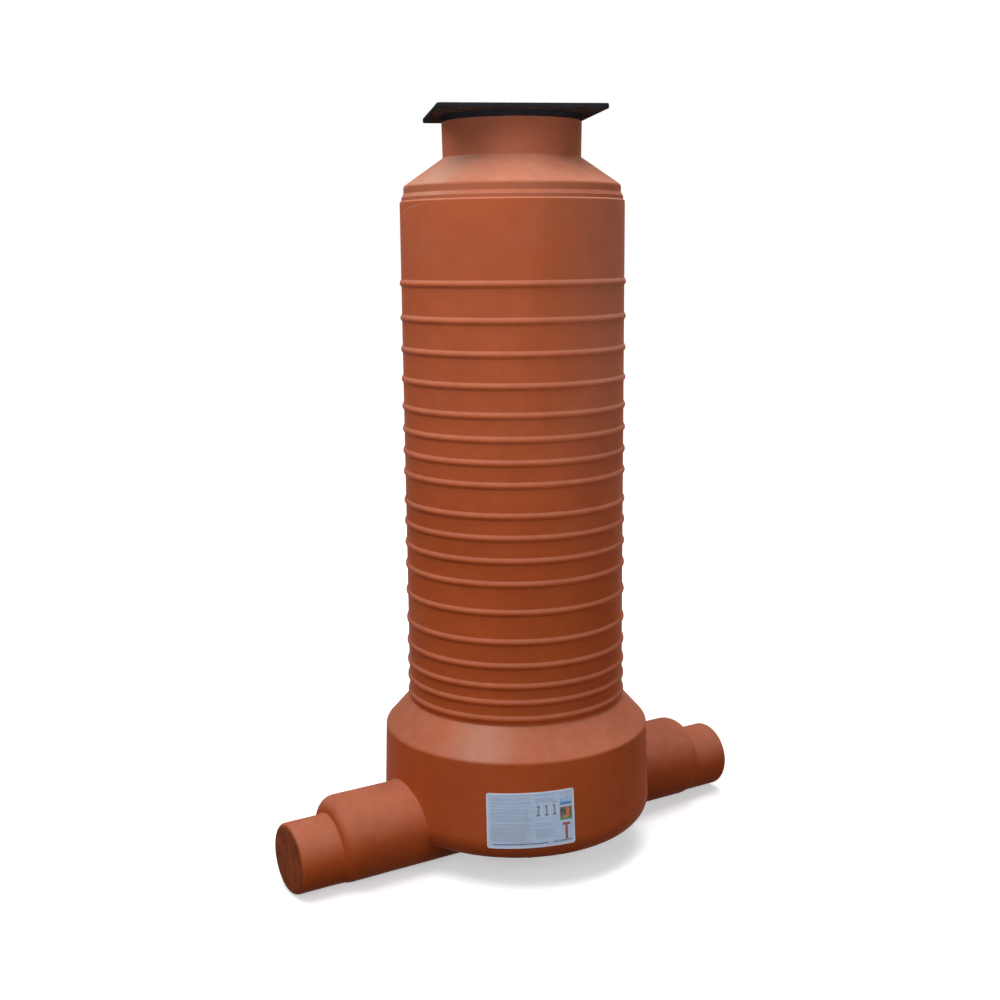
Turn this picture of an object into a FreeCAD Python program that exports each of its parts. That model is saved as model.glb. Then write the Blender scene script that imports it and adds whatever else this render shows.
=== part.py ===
import FreeCAD, Part
import math
import os

# Plastic sewer inspection chamber, in millimetres.
# The shaft stands on Z. The two stub pipes lie in line along X, and Z = 0 is the underside of the
# flow channel, the lowest line of the stubs, where the chamber stands.
# The mouldings are hollow: each is its outer form less its inner form.

Vector = FreeCAD.Vector
ORIGIN = Vector(0, 0, 0)
UP = Vector(0, 0, 1)
FULL_TURN = 360.0
TOUCH = 0.0001                  # nearer than this counts as lying on

# Stub pipes: two steps, each the outside size of a sewer pipe, so that the installer cuts off the
# small end where the larger pipe is wanted
LARGE_PIPE_DIAMETER = 200.0
SMALL_PIPE_DIAMETER = 160.0
LARGE_STUB_REACH = 183.0        # from the drum's foot radius to the face of the step
SMALL_STUB_LENGTH = 100.0       # from the face of the step to the closed end
INVERT_STEP = 1.5               # the small pipe's underside lies this much above the large one's
STEP_EDGE_ROUND = 32.0
STEP_FOOT_ROUND = 4.0
STEP_FOOT_FLARE = 1.2           # the small pipe's foot is wider by this, where its rounding runs out below
STEP_FOOT_FLARE_REACH = 3.0     # from the face of the step to where the flare ends
STUB_END_ROUND = 10.0
STUB_ROOT_ROUND = 4.0
STUB_WALL = 7.0

# Base drum
DRUM_FLOOR_HEIGHT = 60.0        # underside of the drum above the channel's underside
DRUM_DIAMETER = 642.0           # where side and floor would meet without their rounding
DRUM_DRAFT = 8.0                # how much less the radius is at the shoulder's edge
DRUM_BOTTOM_ROUND = 56.0
DRUM_HEIGHT = 238.0             # underside to the shoulder's edge
SHOULDER_HEIGHT = 66.0          # shoulder's edge to the mouth
SHOULDER_EDGE_ROUND = 12.0
BASE_WALL = 7.0
SOCKET_DEPTH = 72.0             # how far the mouth's sleeve reaches down inside

# Feet moulded under the drum, out of sight, level with the channel's underside
FOOT_LENGTH = 116.0
FOOT_WIDTH = 28.0
FOOT_GAP = 13.0                 # from the channel's side
FOOT_CORNER_ROUND = 8.0

# Riser shaft
RISER_DIAMETER = 509.0
RISER_WALL = 8.0
RISER_HEIGHT = 1157.0           # from its seat on the base to its rim
RISER_RIM_ROUND = 5.0
RISER_SPIGOT_LENGTH = 60.0      # below the seat
RISER_SPIGOT_CLEARANCE = 1.5    # spigot to socket, on the radius
RISER_SEAT_WIDTH = 8.0          # how far the socket's bore is inside the riser's outer wall

# Rings round the riser, from the lowest up, at the uneven spacing of the moulding
RING_RISE = 4.0
RING_WIDTH = 18.0
LOWEST_RING_HEIGHT = 13.5
RING_SPACINGS = (38.0, 38.0, 47.0, 55.0, 67.0, 64.0, 52.0, 51.0, 49.0,
                 68.0, 49.0, 51.0, 52.0, 63.0, 68.0, 71.0, 78.0)

# Top cone with its collar and neck
COLLAR_LIP_SETBACK = 4.0        # from the riser's outer wall
COLLAR_LIP_HEIGHT = 7.0
COLLAR_RAMP_HEIGHT = 8.5
COLLAR_BAND_SETBACK = 5.0       # from the lip
COLLAR_BAND_HEIGHT = 16.5
COLLAR_EDGE_ROUND = 4.0
CONE_HEIGHT = 61.5
NECK_DIAMETER = 315.0           # outside, at the mouth
NECK_DRAFT = 1.5                # how much less the radius is at the neck's foot
NECK_HEIGHT = 78.5
NECK_EDGE_ROUND = 2.0
CONE_WALL = 6.5
CONE_SPIGOT_LENGTH = 55.0
CONE_SPIGOT_CLEARANCE = 1.5     # spigot to riser bore, on the radius

# Rubber rings in the two push-in joints
SEAL_GROOVE_DEPTH = 4.0
SEAL_HEIGHT = 10.0
SEAL_GROOVE_PLAY = 1.0          # groove height over seal height
SEAL_DROP = 18.0                # top of the groove below the seat

# Cover plate
LID_OVERHANG = 27.5             # past the neck, at the middle of each side
LID_THICKNESS = 11.0
LID_CORNER_ROUND = 9.0
LID_EDGE_ROUND = 2.0
LID_TURN = -24.0                # about Z, as it was laid on
LID_SEAT_HEIGHT = 13.0          # round seat between the neck's rim and the plate
LID_RING_DEPTH = 26.0           # locating ring inside the neck
LID_RING_WALL = 7.0
LID_RING_CLEARANCE = 2.0

# Printed film on the front of the drum
LABEL_WIDTH = 200.0
LABEL_HEIGHT = 128.0
LABEL_THICKNESS = 0.3
LABEL_GLUE = 0.2                # between the drum's side and the film
LABEL_CORNER_ROUND = 6.0
LABEL_DIRECTION = -116.5        # degrees about Z, to the label's middle
LABEL_TILT = 1.2                # degrees, right end up
LABEL_MIDDLE_HEIGHT = 107.5     # above the drum's underside

# Levels and radii that follow
drum_floor = DRUM_FLOOR_HEIGHT
drum_foot_radius = DRUM_DIAMETER / 2
drum_top_radius = drum_foot_radius - DRUM_DRAFT
shoulder_edge = drum_floor + DRUM_HEIGHT
mouth = shoulder_edge + SHOULDER_HEIGHT
riser_radius = RISER_DIAMETER / 2
riser_bore = riser_radius - RISER_WALL
socket_bore = riser_radius - RISER_SEAT_WIDTH
mouth_radius = socket_bore + BASE_WALL
riser_spigot = socket_bore - RISER_SPIGOT_CLEARANCE
rim = mouth + RISER_HEIGHT
cone_spigot = riser_bore - CONE_SPIGOT_CLEARANCE
lip_top = rim + COLLAR_LIP_HEIGHT
band_foot = lip_top + COLLAR_RAMP_HEIGHT
cone_foot = band_foot + COLLAR_BAND_HEIGHT
neck_foot = cone_foot + CONE_HEIGHT
neck_top = neck_foot + NECK_HEIGHT
collar_lip = riser_radius - COLLAR_LIP_SETBACK
collar_band = collar_lip - COLLAR_BAND_SETBACK
neck_radius = NECK_DIAMETER / 2
neck_foot_radius = neck_radius - NECK_DRAFT
neck_bore = neck_radius - CONE_WALL
large_radius = LARGE_PIPE_DIAMETER / 2
small_radius = SMALL_PIPE_DIAMETER / 2
small_axis = INVERT_STEP + small_radius
foot_middle = large_radius + FOOT_GAP + FOOT_WIDTH / 2
step_x = drum_foot_radius + LARGE_STUB_REACH
stub_end_x = step_x + SMALL_STUB_LENGTH


def point(radius, height):
    return Vector(radius, 0, height)


def outline(corners):
    """Closed outline in the X-Z plane, from (radius, height, rounding) corners.

    A corner with a rounding gets the tangent arc of that radius, and one without stays sharp.
    """
    count = len(corners)
    stops = []
    for i in range(count):
        radius, height, rounding = corners[i]
        corner = point(radius, height)
        if rounding == 0:
            stops.append((corner, None, corner))
            continue
        before = point(*corners[i - 1][:2]) - corner
        after = point(*corners[(i + 1) % count][:2]) - corner
        before.normalize()
        after.normalize()
        half_angle = before.getAngle(after) / 2
        run = rounding / math.tan(half_angle)
        middle_way = before + after
        middle_way.normalize()
        top_of_arc = corner + middle_way * (rounding / math.sin(half_angle) - rounding)
        stops.append((corner + before * run, top_of_arc, corner + after * run))
    edges = []
    for i in range(count):
        start, middle, end = stops[i]
        if middle is not None:
            edges.append(Part.Arc(start, middle, end).toShape())
        following = stops[(i + 1) % count][0]
        edges.append(Part.LineSegment(end, following).toShape())
    return edges


def turned(edges):
    """Solid of revolution about Z from the edges of a closed outline."""
    face = Part.Face(Part.Wire(edges))
    return face.revolve(ORIGIN, UP, FULL_TURN)


def tube(outer, inner, foot, height):
    ring = Part.makeCylinder(outer, height, Vector(0, 0, foot))
    return ring.cut(Part.makeCylinder(inner, height, Vector(0, 0, foot)))


def drum_form(inset):
    """The drum as a full solid, with its whole outline moved in by inset."""
    top = shoulder_edge
    slope_run = drum_top_radius - mouth_radius
    slope_length = math.hypot(slope_run, SHOULDER_HEIGHT)
    # the sloping shoulder moves down, square to its face, by the inset
    shoulder_drop = inset * slope_length / slope_run
    side_drop = shoulder_drop - inset * SHOULDER_HEIGHT / slope_run
    return turned(outline([
        (0, drum_floor + inset, 0),
        (drum_foot_radius - inset, drum_floor + inset, DRUM_BOTTOM_ROUND - inset),
        (drum_top_radius - inset, top - side_drop, SHOULDER_EDGE_ROUND - inset / 2),
        (mouth_radius, mouth - shoulder_drop, 0),
        (0, mouth - shoulder_drop, 0),
    ]))


def lies_on(skin, spot):
    return skin.distToShape(Part.Vertex(spot))[0] < TOUCH


def meeting_edges(form, first, second):
    """Edges of a fused form that run where the skins of its two makings met."""
    found = []
    for edge in form.Edges:
        middle = edge.valueAt((edge.FirstParameter + edge.LastParameter) / 2)
        if lies_on(first.Shells[0], middle) and lies_on(second.Shells[0], middle):
            found.append(edge)
    return found


def upright(edge):
    """Whether an edge lies in one plane square to X."""
    return edge.BoundBox.XLength < TOUCH


def lying_bar(radius, end, axis_height, end_round):
    """Bar from the middle of the chamber out along +X, with a rounded end."""
    bar = Part.makeCylinder(radius, end, Vector(0, 0, axis_height), Vector(1, 0, 0))
    end_edges = [e for e in bar.Edges if upright(e) and e.BoundBox.XMin > end / 2]
    return bar.makeFillet(end_round, end_edges)


def step_foot_flare():
    """Slight cone at the small pipe's foot, so that its plain wall starts level all the way round."""
    length = STEP_EDGE_ROUND + STEP_FOOT_FLARE_REACH
    start = Vector(step_x - STEP_EDGE_ROUND, 0, small_axis)
    return Part.makeCone(small_radius + STEP_FOOT_FLARE, small_radius, length, start, Vector(1, 0, 0))


def stub_form(inset):
    """Both steps of the stub on the +X side, with the outline moved in by inset."""
    large = lying_bar(large_radius - inset, step_x - inset, large_radius, STEP_EDGE_ROUND - inset)
    small = lying_bar(small_radius - inset, stub_end_x - inset, small_axis, STUB_END_ROUND - inset)
    stub = large.fuse(small)
    if inset > 0:
        return stub
    step_foot = meeting_edges(stub, large, small)
    return stub.makeFillet(STEP_FOOT_ROUND, step_foot).fuse(step_foot_flare())


def both_sides(form):
    return form.fuse(form.rotated(ORIGIN, UP, FULL_TURN / 2)).removeSplitter()


def foot_blocks():
    blocks = []
    height = drum_floor + BASE_WALL / 2
    for side in (-1, 1):
        corner = Vector(-FOOT_LENGTH / 2, side * foot_middle - FOOT_WIDTH / 2, 0)
        block = Part.makeBox(FOOT_LENGTH, FOOT_WIDTH, height, corner)
        corner_edges = [e for e in block.Edges if e.BoundBox.ZLength > height / 2]
        blocks.append(block.makeFillet(FOOT_CORNER_ROUND, corner_edges))
    return blocks


def base_chamber():
    drum = drum_form(0)
    stubs = both_sides(stub_form(0))
    outside = drum.fuse(stubs).removeSplitter()
    outside = outside.makeFillet(STUB_ROOT_ROUND, meeting_edges(outside, drum, stubs))
    inside = drum_form(BASE_WALL).fuse(both_sides(stub_form(STUB_WALL)))
    sleeve_foot = mouth - SOCKET_DEPTH
    opening = Part.makeCylinder(socket_bore, SOCKET_DEPTH, Vector(0, 0, sleeve_foot))
    sleeve = tube(mouth_radius, socket_bore, sleeve_foot, SOCKET_DEPTH)
    shell = outside.cut(inside).cut(opening).fuse(sleeve)
    for block in foot_blocks():
        shell = shell.fuse(block)
    return shell.removeSplitter()


def riser_outside():
    """Outer line of the riser from its seat up to its rim, ring by ring."""
    bead_radius = ((RING_WIDTH / 2) ** 2 + RING_RISE ** 2) / (2 * RING_RISE)
    heights = [mouth + LOWEST_RING_HEIGHT]
    for spacing in RING_SPACINGS:
        heights.append(heights[-1] + spacing)
    edges = []
    last = point(riser_radius, mouth)
    for height in heights:
        foot = point(riser_radius, height - RING_WIDTH / 2)
        crest = point(riser_radius + RING_RISE, height)
        head = point(riser_radius, height + RING_WIDTH / 2)
        edges.append(Part.LineSegment(last, foot).toShape())
        edges.append(Part.Arc(foot, crest, head).toShape())
        last = head
    return edges, last


def riser_shaft():
    edges, last = riser_outside()
    spigot_foot = mouth - RISER_SPIGOT_LENGTH
    groove_top = mouth - SEAL_DROP
    groove_foot = groove_top - SEAL_HEIGHT - SEAL_GROOVE_PLAY
    arc_rise = RISER_RIM_ROUND * (1 - math.sqrt(0.5))
    rim_foot = point(riser_radius, rim - RISER_RIM_ROUND)
    rim_middle = point(riser_radius - arc_rise, rim - arc_rise)
    rim_head = point(riser_radius - RISER_RIM_ROUND, rim)
    edges.append(Part.LineSegment(last, rim_foot).toShape())
    edges.append(Part.Arc(rim_foot, rim_middle, rim_head).toShape())
    path = [rim_head]
    spigot_bore = riser_spigot - RISER_WALL
    for radius, height in (
        (riser_bore, rim),
        (riser_bore, mouth + RISER_WALL),
        (spigot_bore, mouth),
        (spigot_bore, spigot_foot),
        (riser_spigot, spigot_foot),
        (riser_spigot, groove_foot),
        (riser_spigot - SEAL_GROOVE_DEPTH, groove_foot),
        (riser_spigot - SEAL_GROOVE_DEPTH, groove_top),
        (riser_spigot, groove_top),
        (riser_spigot, mouth),
        (riser_radius, mouth),
    ):
        path.append(point(radius, height))
    for start, end in zip(path, path[1:]):
        edges.append(Part.LineSegment(start, end).toShape())
    return turned(edges)


def top_cone():
    spigot_foot = rim - CONE_SPIGOT_LENGTH
    groove_top = rim - SEAL_DROP
    groove_foot = groove_top - SEAL_HEIGHT - SEAL_GROOVE_PLAY
    groove_floor = cone_spigot - SEAL_GROOVE_DEPTH
    spigot_bore = groove_floor - CONE_WALL
    slope_run = collar_band - neck_foot_radius
    # the inside of the slope lies one wall below the outside, square to it
    slope_drop = CONE_WALL * math.hypot(slope_run, CONE_HEIGHT) / slope_run
    inner_run = spigot_bore - neck_bore
    inner_neck_foot = neck_foot - slope_drop
    inner_slope_foot = inner_neck_foot - inner_run * CONE_HEIGHT / slope_run
    return turned(outline([
        (spigot_bore, spigot_foot, 0),
        (cone_spigot, spigot_foot, 0),
        (cone_spigot, groove_foot, 0),
        (groove_floor, groove_foot, 0),
        (groove_floor, groove_top, 0),
        (cone_spigot, groove_top, 0),
        (cone_spigot, rim, 0),
        (collar_lip, rim, 0),
        (collar_lip, lip_top, COLLAR_EDGE_ROUND / 2),
        (collar_band, band_foot, COLLAR_EDGE_ROUND),
        (collar_band, cone_foot, COLLAR_EDGE_ROUND),
        (neck_foot_radius, neck_foot, COLLAR_EDGE_ROUND),
        (neck_radius, neck_top, NECK_EDGE_ROUND),
        (neck_bore, neck_top, 0),
        (neck_bore, inner_neck_foot, 0),
        (spigot_bore, inner_slope_foot, 0),
    ]))


def joint_seal(spigot_radius, bore_radius, seat):
    """Rubber ring that lies on its groove's lower side and fills the way across to the bore."""
    foot = seat - SEAL_DROP - SEAL_HEIGHT - SEAL_GROOVE_PLAY
    return tube(bore_radius, spigot_radius - SEAL_GROOVE_DEPTH, foot, SEAL_HEIGHT)


def cover_lid():
    plate_foot = neck_top + LID_SEAT_HEIGHT
    half = neck_radius + LID_OVERHANG
    plate = Part.makeBox(2 * half, 2 * half, LID_THICKNESS, Vector(-half, -half, plate_foot))
    uprights = [e for e in plate.Edges if e.BoundBox.ZLength > LID_THICKNESS / 2]
    plate = plate.makeFillet(LID_CORNER_ROUND, uprights)
    edges = [e for e in plate.Edges if e.BoundBox.ZLength < LID_EDGE_ROUND]
    plate = plate.makeFillet(LID_EDGE_ROUND, edges)
    plate.rotate(ORIGIN, UP, LID_TURN)
    ring_outer = neck_bore - LID_RING_CLEARANCE
    ring_inner = ring_outer - LID_RING_WALL
    seat = tube(neck_radius, ring_inner, neck_top, LID_SEAT_HEIGHT)
    ring = tube(ring_outer, ring_inner, neck_top - LID_RING_DEPTH, LID_RING_DEPTH)
    return plate.fuse(seat).fuse(ring).removeSplitter()


def info_label():
    """Film on the drum's side: the drum's own slope, cut to a rounded rectangle."""
    middle = drum_floor + LABEL_MIDDLE_HEIGHT
    back = LABEL_GLUE
    front = LABEL_GLUE + LABEL_THICKNESS
    sleeve = turned(outline([
        (drum_foot_radius + back, drum_floor, 0),
        (drum_foot_radius + front, drum_floor, 0),
        (drum_top_radius + front, shoulder_edge, 0),
        (drum_top_radius + back, shoulder_edge, 0),
    ]))
    # the film's width is measured round the drum, and its cutter's straight across
    share = LABEL_MIDDLE_HEIGHT / DRUM_HEIGHT
    middle_radius = drum_foot_radius - DRUM_DRAFT * share
    chord = 2 * middle_radius * math.sin(LABEL_WIDTH / middle_radius / 2)
    low_corner = Vector(0, -chord / 2, middle - LABEL_HEIGHT / 2)
    cutter = Part.makeBox(DRUM_DIAMETER, chord, LABEL_HEIGHT, low_corner)
    corner_edges = [e for e in cutter.Edges if e.BoundBox.XLength > middle_radius]
    cutter = cutter.makeFillet(LABEL_CORNER_ROUND, corner_edges)
    cutter.rotate(Vector(0, 0, middle), Vector(1, 0, 0), LABEL_TILT)
    cutter.rotate(ORIGIN, UP, LABEL_DIRECTION)
    return sleeve.common(cutter)


pieces = {
    "base_chamber": base_chamber(),
    "riser_shaft": riser_shaft(),
    "top_cone": top_cone(),
    "base_seal": joint_seal(riser_spigot, socket_bore, mouth),
    "cone_seal": joint_seal(cone_spigot, riser_bore, rim),
    "cover_lid": cover_lid(),
    "info_label": info_label(),
}

os.makedirs("parts", exist_ok=True)
for name, shape in pieces.items():
    solids = shape.Solids
    solid = solids[0] if len(solids) == 1 else shape
    solid.exportStep("parts/" + name + ".step")
    print(name, "solids:", len(solids), "valid:", shape.isValid(), "volume:", round(shape.Volume))
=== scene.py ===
import math

import bpy
from bpy.props import FloatProperty, FloatVectorProperty, IntProperty, PointerProperty
from mathutils import Matrix, Vector, noise


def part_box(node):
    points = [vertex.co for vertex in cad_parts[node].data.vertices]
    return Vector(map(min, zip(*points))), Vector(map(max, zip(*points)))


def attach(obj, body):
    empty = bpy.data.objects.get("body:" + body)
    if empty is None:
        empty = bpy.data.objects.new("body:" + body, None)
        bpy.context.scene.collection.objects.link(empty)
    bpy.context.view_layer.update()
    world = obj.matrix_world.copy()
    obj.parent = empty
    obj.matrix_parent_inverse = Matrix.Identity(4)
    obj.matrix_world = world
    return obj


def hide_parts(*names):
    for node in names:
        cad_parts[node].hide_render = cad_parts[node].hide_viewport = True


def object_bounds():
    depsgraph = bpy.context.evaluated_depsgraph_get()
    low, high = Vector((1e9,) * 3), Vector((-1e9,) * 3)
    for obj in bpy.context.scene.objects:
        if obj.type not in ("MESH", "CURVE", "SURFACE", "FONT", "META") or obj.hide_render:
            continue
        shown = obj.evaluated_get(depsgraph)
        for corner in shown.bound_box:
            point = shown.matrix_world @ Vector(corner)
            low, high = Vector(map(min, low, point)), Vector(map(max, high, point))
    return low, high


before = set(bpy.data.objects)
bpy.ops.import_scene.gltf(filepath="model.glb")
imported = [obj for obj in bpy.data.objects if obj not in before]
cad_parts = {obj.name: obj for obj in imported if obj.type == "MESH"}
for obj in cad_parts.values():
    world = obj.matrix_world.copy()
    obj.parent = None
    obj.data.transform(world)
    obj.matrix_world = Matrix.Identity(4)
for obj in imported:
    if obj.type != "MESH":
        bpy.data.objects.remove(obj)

bl_info = {
    "name": "Drain Inspection Chamber",
    "version": (1, 0, 0),
    "blender": (4, 5, 0),
    "location": "View3D > Sidebar > Chamber",
    "description": "Dresses an inspection chamber: drum base, ringed shaft, cone, cover and label",
    "category": "Add Mesh",
}

# The CAD model's own places, in metres. The shaft stands on Z.
MM = 0.001
CAD_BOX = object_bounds()
BASE_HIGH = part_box("base_chamber")[1]
SHAFT_LOW, SHAFT_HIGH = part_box("riser_shaft")
CONE_LOW, CONE_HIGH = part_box("top_cone")
BASE_SEAL_LOW, BASE_SEAL_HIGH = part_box("base_seal")
CONE_SEAL_LOW, CONE_SEAL_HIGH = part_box("cone_seal")
COVER_LOW, COVER_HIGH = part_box("cover_lid")
MOUTH = BASE_HIGH[2]
RIM = SHAFT_HIGH[2]
NECK_TOP = CONE_HIGH[2]
SOCKET_BORE = BASE_SEAL_HIGH[0]
SHAFT_BORE = CONE_SEAL_HIGH[0]

# How the mouldings are pushed into each other
SPIGOT_PLAY = 1.5 * MM           # from a spigot to the bore that takes it
GROOVE_DEPTH = 4 * MM            # for the seal, in a spigot
GROOVE_PLAY = 1 * MM             # over the seal
SLIGHT_ROUND = 1 * MM            # on edges that are only just broken

# How finely the pieces are modelled
ARC_STEP = math.radians(10)      # one edge of a rounded corner
RING_FACETS = 7                  # on each flank of a ring
SMOOTH_ANGLE = math.radians(35)  # sharper edges than this stay sharp
FLOOR_SIDE = 120


# Sizes and colours that a user would change

class ShaftSettings(bpy.types.PropertyGroup):
    wall: FloatProperty(name="Wall", description="Thickness of the shaft's wall", default=8 * MM,
                        unit="LENGTH")
    ring_rise: FloatProperty(name="Ring rise", description="How far a ring stands out", default=4 * MM,
                             unit="LENGTH")
    ring_upper: FloatProperty(name="Ring upper flank", description="Height of a ring above its crest",
                              default=10.5 * MM, unit="LENGTH")
    ring_lower: FloatProperty(name="Ring lower flank", description="Height of a ring below its crest",
                              default=8 * MM, unit="LENGTH")
    lowest_ring: FloatProperty(name="Lowest ring", description="The lowest crest's height over the seat",
                               default=13.5 * MM, unit="LENGTH")
    spacings: FloatVectorProperty(
        name="Ring spacings", description="From crest to crest, from the lowest up", size=17,
        default=[MM * s for s in (38, 38, 47, 55, 67, 64, 52, 51, 49, 68, 49, 51, 52, 63, 68, 71, 78)],
        unit="LENGTH")
    rim_round: FloatProperty(name="Rim rounding", description="Rounding of the rim's outer edge",
                             default=5 * MM, unit="LENGTH")
    steps: IntProperty(name="Steps", description="Facets round the shaft", default=144)


class ConeSettings(bpy.types.PropertyGroup):
    wall: FloatProperty(name="Wall", description="Thickness of the cone's wall", default=6.5 * MM,
                        unit="LENGTH")
    lip_height: FloatProperty(name="Lip height", description="Height of the lip on the rim",
                              default=7 * MM, unit="LENGTH")
    ramp_height: FloatProperty(name="Ramp height", description="Height of the slope over the lip",
                               default=8.5 * MM, unit="LENGTH")
    band_setback: FloatProperty(name="Band setback", description="From the lip in to the band",
                                default=5 * MM, unit="LENGTH")
    band_height: FloatProperty(name="Band height", description="Height of the upright band",
                               default=16.5 * MM, unit="LENGTH")
    cone_height: FloatProperty(name="Cone height", description="Height of the sloping part",
                               default=61.5 * MM, unit="LENGTH")
    neck_diameter: FloatProperty(name="Neck diameter", description="Outside, at the mouth",
                                 default=315 * MM, unit="LENGTH")
    neck_draft: FloatProperty(name="Neck draft", description="How much less the radius is at its foot",
                              default=1.5 * MM, unit="LENGTH")
    edge_round: FloatProperty(name="Edge rounding", description="Rounding of the cone's corners",
                              default=4 * MM, unit="LENGTH")
    shoulder_round: FloatProperty(name="Shoulder rounding", description="Where the band meets the cone",
                                  default=9 * MM, unit="LENGTH")
    rim_round: FloatProperty(name="Rim rounding", description="Rounding of the neck's rim",
                             default=2 * MM, unit="LENGTH")


class CoverSettings(bpy.types.PropertyGroup):
    side: FloatProperty(name="Side", description="Side of the square plate", default=370 * MM,
                        unit="LENGTH")
    thickness: FloatProperty(name="Thickness", description="Thickness of the plate", default=11 * MM,
                             unit="LENGTH")
    corner_round: FloatProperty(name="Corner rounding", description="Seen from above", default=9 * MM,
                                unit="LENGTH")
    edge_round: FloatProperty(name="Edge rounding", description="Along the plate's rims",
                              default=2 * MM, unit="LENGTH")
    turn: FloatProperty(name="Turn", description="How the loose plate was laid on, about the shaft",
                        default=math.radians(-24), subtype="ANGLE")
    ring_depth: FloatProperty(name="Ring depth", description="How far the locating ring enters the neck",
                              default=26 * MM, unit="LENGTH")
    ring_wall: FloatProperty(name="Ring wall", description="Thickness of the locating ring",
                             default=7 * MM, unit="LENGTH")
    ring_clearance: FloatProperty(name="Ring clearance", description="From the ring to the neck's bore",
                                  default=2 * MM, unit="LENGTH")
    roughness: FloatProperty(name="Rough edge", description="How uneven the moulded edge is",
                             default=0.7 * MM, unit="LENGTH")


class LabelSettings(bpy.types.PropertyGroup):
    width: FloatProperty(name="Width", description="Measured round the drum", default=200 * MM,
                         unit="LENGTH")
    height: FloatProperty(name="Height", description="Height of the film", default=128 * MM,
                          unit="LENGTH")
    corner_round: FloatProperty(name="Corner rounding", description="Rounding of the film's corners",
                                default=6 * MM, unit="LENGTH")
    thickness: FloatProperty(name="Thickness", description="Thickness of the film", default=0.3 * MM,
                             unit="LENGTH")
    drum_radius: FloatProperty(name="Drum radius", description="To the back of the film at its middle",
                               default=317.6 * MM, unit="LENGTH")
    drum_draft: FloatProperty(name="Drum draft", description="Lean of the drum's side",
                              default=math.atan(8 / 238), subtype="ANGLE")
    direction: FloatProperty(name="Direction", description="About the shaft, to the film's middle",
                             default=math.radians(-116.5), subtype="ANGLE")
    tilt: FloatProperty(name="Tilt", description="Right end up", default=math.radians(1.2),
                        subtype="ANGLE")
    middle: FloatProperty(name="Middle", description="Height of the film's middle", default=167.5 * MM,
                          unit="LENGTH")


class FinishSettings(bpy.types.PropertyGroup):
    terracotta: FloatVectorProperty(name="Terracotta", description="The mouldings' colour",
                                    subtype="COLOR", size=3, default=(0.44, 0.083, 0.022))
    cover_black: FloatVectorProperty(name="Cover", description="The cover plate's colour",
                                     subtype="COLOR", size=3, default=(0.019, 0.019, 0.023))
    rubber: FloatVectorProperty(name="Rubber", description="The seals' colour", subtype="COLOR", size=3,
                                default=(0.02, 0.02, 0.021))
    film: FloatVectorProperty(name="Film", description="The label's ground", subtype="COLOR", size=3,
                              default=(0.50, 0.62, 0.84))


class StudioSettings(bpy.types.PropertyGroup):
    camera_place: FloatVectorProperty(name="Camera", description="The camera's place", size=3,
                                      subtype="TRANSLATION", unit="LENGTH",
                                      default=(-1.7006, -2.6857, 1.4121))
    camera_turn: FloatVectorProperty(name="Camera turn", description="The camera's turn about X, Y and Z",
                                     size=3, subtype="EULER",
                                     default=[math.radians(a) for a in (79.656, 0.537, -31.829)])
    lens: FloatProperty(name="Lens", description="Focal length in millimetres", default=49.389)
    sky: FloatProperty(name="Sky", description="Strength of the even light all round", default=0.03)
    zenith: FloatProperty(name="Zenith", description="Strength of the sky's light from high up",
                          default=0.15)
    left: FloatProperty(name="Left", description="Power of the soft box at the left, in watts",
                        default=16.0)
    front: FloatProperty(name="Front", description="Power of the soft box at the front, in watts",
                         default=6.5)
    right: FloatProperty(name="Right", description="Power of the soft box at the right, in watts",
                         default=13.0)
    overhead: FloatProperty(name="Overhead", description="Power of the soft box overhead, in watts",
                            default=113.0)
    back: FloatProperty(name="Back", description="Power of the soft box at the back, in watts",
                        default=88.0)


# Shader maths

class Wire:
    """A socket that gives a number, usable in sums: each operator adds its Math node."""

    def __init__(self, paint, socket):
        self.paint = paint
        self.socket = socket

    def maths(self, operation, *terms):
        inputs = dict(enumerate(terms))
        return self.paint.node("ShaderNodeMath", {"operation": operation}, inputs)

    def __add__(self, other):
        return self.maths("ADD", self, other)

    def __radd__(self, other):
        return self.maths("ADD", other, self)

    def __sub__(self, other):
        return self.maths("SUBTRACT", self, other)

    def __rsub__(self, other):
        return self.maths("SUBTRACT", other, self)

    def __mul__(self, other):
        return self.maths("MULTIPLY", self, other)

    def __rmul__(self, other):
        return self.maths("MULTIPLY", other, self)

    def __truediv__(self, other):
        return self.maths("DIVIDE", self, other)

    def __rpow__(self, other):
        return self.maths("POWER", other, self)

    def __gt__(self, other):
        return self.maths("GREATER_THAN", self, other)

    def __lt__(self, other):
        return self.maths("LESS_THAN", self, other)

    def __abs__(self):
        return self.maths("ABSOLUTE", self)

    def __floor__(self):
        return self.maths("FLOOR", self)

    def __or__(self, other):
        return self.maths("MAXIMUM", self, other)


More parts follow.
